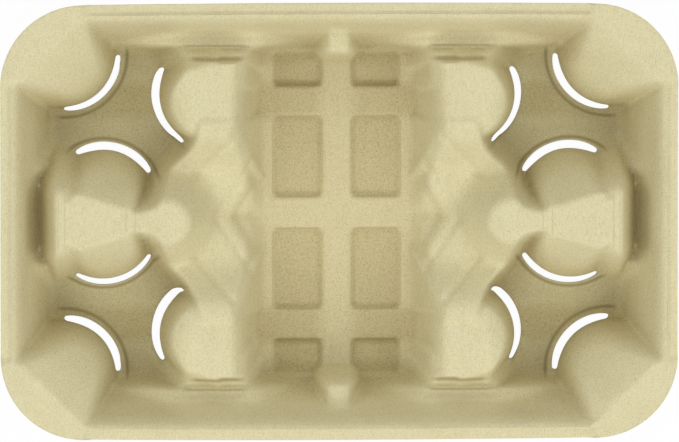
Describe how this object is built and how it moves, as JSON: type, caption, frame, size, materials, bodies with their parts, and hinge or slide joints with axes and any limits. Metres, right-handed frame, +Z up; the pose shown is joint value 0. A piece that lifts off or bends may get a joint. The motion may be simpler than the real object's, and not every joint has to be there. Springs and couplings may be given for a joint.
{
  "type": "moulded pulp cup carrier",
  "caption": "Rectangular moulded pulp tray with slit, lobed cup pockets at its corners and a ribbed well between them, carried by its rim.",
  "frame": {"origin": "on the ground below the middle of the tray", "axes": "+X along the long side, +Y along the short side, +Z up out of the pockets"},
  "size_m": [0.332, 0.2154, 0.046],
  "materials": {
    "pulp": "matt, dry moulded paper fibre"
  },
  "bodies": {
    "root": {"carrier": "pulp"}
  },
  "joints": []
}
